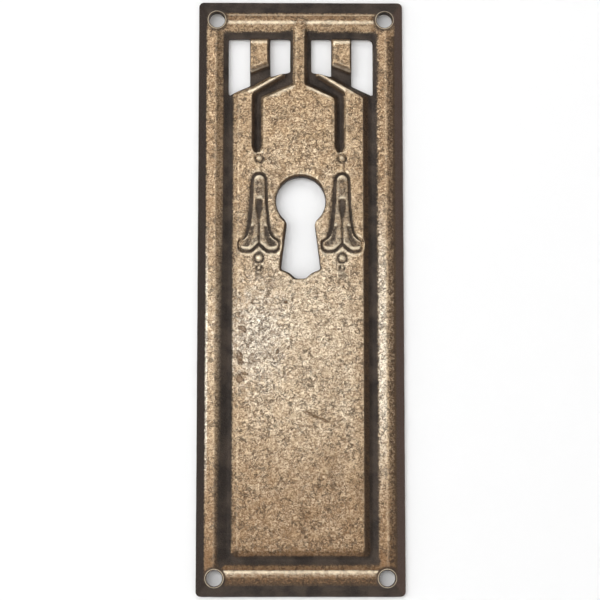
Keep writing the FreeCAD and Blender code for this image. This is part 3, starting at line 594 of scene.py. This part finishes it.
    color = mixColor(tree, wearAndShade, patina, brass)
    color = mixColor(tree, crest, color, brassLook["brassCrest"])
    marks, rings = 0.0, 0.0
    for markX, markZ, width, tall, turn, strength in plateMarks:
        mark = placeGroup(
            tree, spot, "Mask", Vector=place, Centre=(markX, -1.9, markZ), Size=(width, 4.0, tall),
            Turn=math.radians(turn), Wobble=wobble, Soft=0.25,
        )
        marks = most(marks, times(mark, strength))
        rings = most(rings, times(mark.node.outputs["Rim"], strength))
    color = mixColor(tree, times(marks, plus(0.6, times(fine, 0.2))), color, brassLook["strokeBrown"])
    color = mixColor(tree, times(rings, 0.5), color, brassLook["patinaBrown"])

    metal = most(times(wearAndShade, 0.85), times(crest, 0.9))
    rough = ramp(tree, wearAndShade, 0.0, 1.0, brassLook["patinaRough"], brassLook["wornRough"])
    rough = plus(rough, times(inverse(grain), 0.10))
    relief = plus(grain, times(fine, 0.5))
    relief = less(relief, plus(plus(worms, strokes), times(marks, 1.5)))
    bump = addNode(tree, "ShaderNodeBump", 0, {
        "Strength": 0.7, "Distance": brassLook["bumpDepth"] * mm, "Height": relief,
    })

    shader = tree.nodes["Principled BSDF"]
    tree.links.new(color, shader.inputs["Base Color"])
    tree.links.new(metal, shader.inputs["Metallic"])
    tree.links.new(rough, shader.inputs["Roughness"])
    shader.inputs["Specular IOR Level"].default_value = 0.25
    tree.links.new(bump, shader.inputs["Normal"])
    return material


# pale paper that shows from its front only and lets light through to the plate's back
def paperMaterial():
    material = bpy.data.materials.new("paper")
    material.use_nodes = True
    tree = material.node_tree
    shader = tree.nodes["Principled BSDF"]
    shader.inputs["Base Color"].default_value = (*roomLook["paper"], 1.0)
    shader.inputs["Roughness"].default_value = 0.9
    shader.inputs["Specular IOR Level"].default_value = 0.1
    clear = tree.nodes.new("ShaderNodeBsdfTransparent")
    behind = addNode(tree, "ShaderNodeNewGeometry", "Backfacing", {})
    shadow = addNode(tree, "ShaderNodeLightPath", "Is Shadow Ray", {})
    mix = tree.nodes.new("ShaderNodeMixShader")
    tree.links.new(calc(tree, "MAXIMUM", behind, shadow), mix.inputs["Fac"])
    tree.links.new(shader.outputs[0], mix.inputs[1])
    tree.links.new(clear.outputs[0], mix.inputs[2])
    tree.links.new(mix.outputs[0], tree.nodes["Material Output"].inputs["Surface"])
    return material


# the pale surface that the plate lies against, and a pale floor under it
def buildPaper(material):
    sheets = []
    for name, turn, shift in (
        ("backdrop", Matrix.Rotation(math.radians(90), 4, "X"), (0, 0.0003, 0)),
        ("floor", Matrix.Identity(4), (0, 0, -0.125)),
    ):
        bpy.ops.object.select_all(action="DESELECT")
        bpy.ops.mesh.primitive_plane_add(size=3.0)
        sheet = bpy.context.object
        sheet.name = name
        sheet.data.transform(Matrix.Translation(shift) @ turn)
        sheet.data.materials.append(material)
        sheets.append(sheet)
    return sheets


def buildLight():
    world = bpy.data.worlds.new("room")
    bpy.context.scene.world = world
    world.use_nodes = True
    tree = world.node_tree
    plain = tree.nodes["Background"]
    plain.inputs["Color"].default_value = (1.0, 1.0, 1.0, 1.0)
    plain.inputs["Strength"].default_value = roomLook["worldLight"]
    white = tree.nodes.new("ShaderNodeBackground")
    white.inputs["Color"].default_value = (1.0, 1.0, 1.0, 1.0)
    white.inputs["Strength"].default_value = 1.0
    path = tree.nodes.new("ShaderNodeLightPath")
    mix = tree.nodes.new("ShaderNodeMixShader")
    tree.links.new(path.outputs["Is Camera Ray"], mix.inputs["Fac"])
    tree.links.new(plain.outputs[0], mix.inputs[1])
    tree.links.new(white.outputs[0], mix.inputs[2])
    tree.links.new(mix.outputs[0], tree.nodes["World Output"].inputs["Surface"])

    for name in ("key", "top", "side", "fill", "back"):
        bpy.ops.object.light_add(type="AREA", location=roomLook[f"{name}Place"])
        softbox = bpy.context.object
        softbox.name = f"{name}Light"
        softbox.data.shape = "RECTANGLE"
        softbox.data.size, softbox.data.size_y = roomLook[f"{name}Size"]
        softbox.data.energy = roomLook[f"{name}Power"]
        softbox.rotation_euler = softbox.location.to_track_quat("Z", "Y").to_euler()


def buildCamera():
    bpy.ops.object.camera_add(location=cameraLook["place"])
    camera = bpy.context.object
    camera.rotation_euler = (math.radians(90 + cameraLook["tilt"]), 0, math.radians(cameraLook["pan"]))
    camera.data.lens = cameraLook["lens"]
    camera.data.sensor_width = 36
    camera.data.clip_start = 0.01
    bpy.context.scene.camera = camera


plate = buildPlate()
plate.data.materials.append(buildAgedBrass())
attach(plate, "root")
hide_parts("escutcheon_plate")
print("plate and its brass done")

buildPaper(paperMaterial())
buildLight()
buildCamera()
bpy.context.scene.view_settings.view_transform = "Standard"
print("room and camera done")
